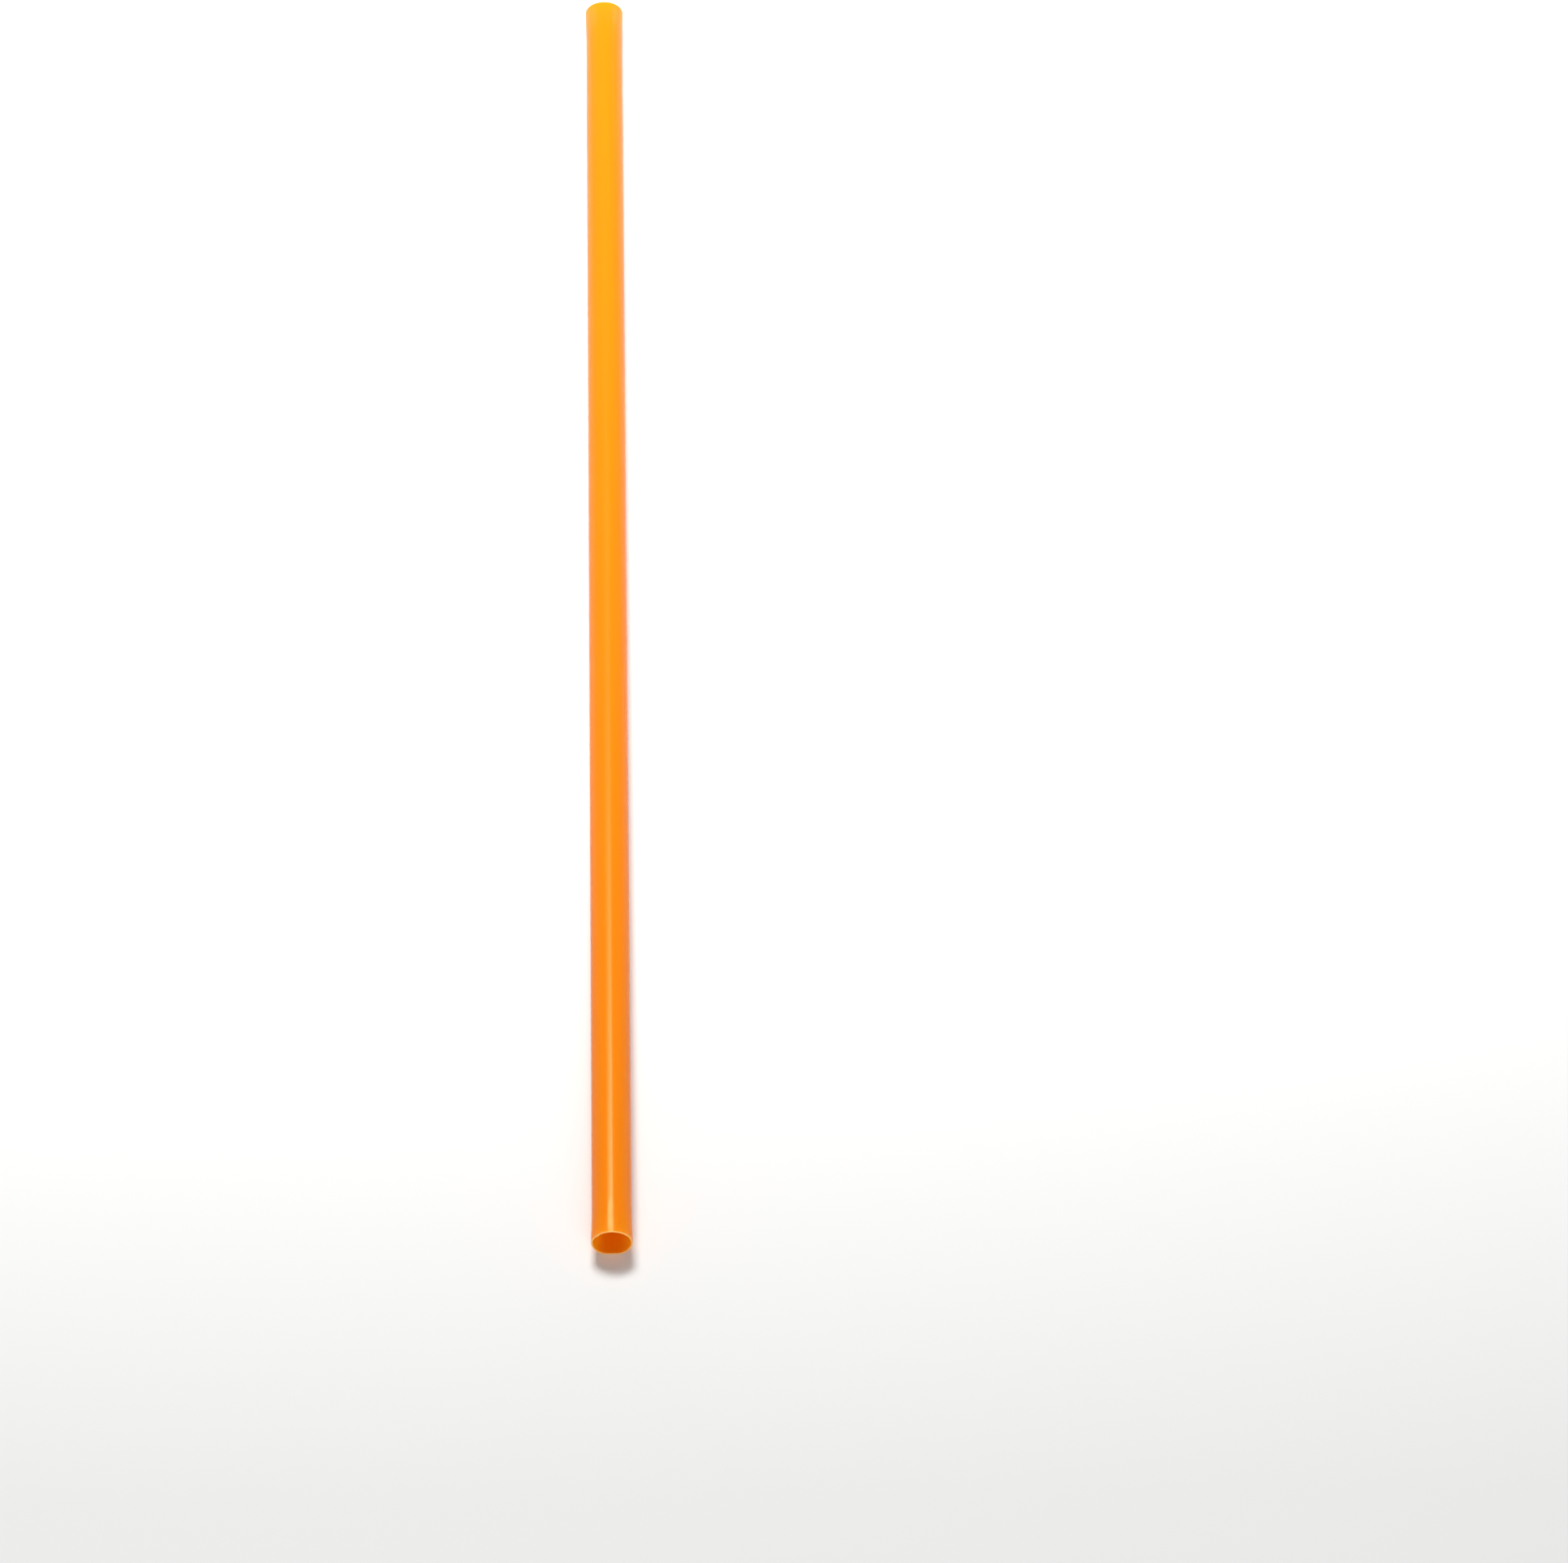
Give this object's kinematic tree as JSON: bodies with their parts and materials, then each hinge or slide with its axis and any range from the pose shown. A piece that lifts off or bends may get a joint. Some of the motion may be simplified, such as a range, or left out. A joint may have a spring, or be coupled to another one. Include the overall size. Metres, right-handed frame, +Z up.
{
  "type": "plastic drinking straw",
  "caption": "Plain straight drinking straw: a long thin-walled plastic tube, round along its length, and slightly pinched oval at its two cut ends, with a narrow flat below.",
  "frame": {"origin": "bottom centre of the straw, on the surface that it lies on", "axes": "+Y along the straw, from its near end in the picture to its far end, +Z up, +X across it"},
  "size_m": [0.006, 0.2623, 0.0058],
  "materials": {
    "orange_plastic": "satin gloss, slightly translucent, tinted right through"
  },
  "bodies": {
    "root": {"straw_tube": "orange_plastic"}
  },
  "joints": []
}
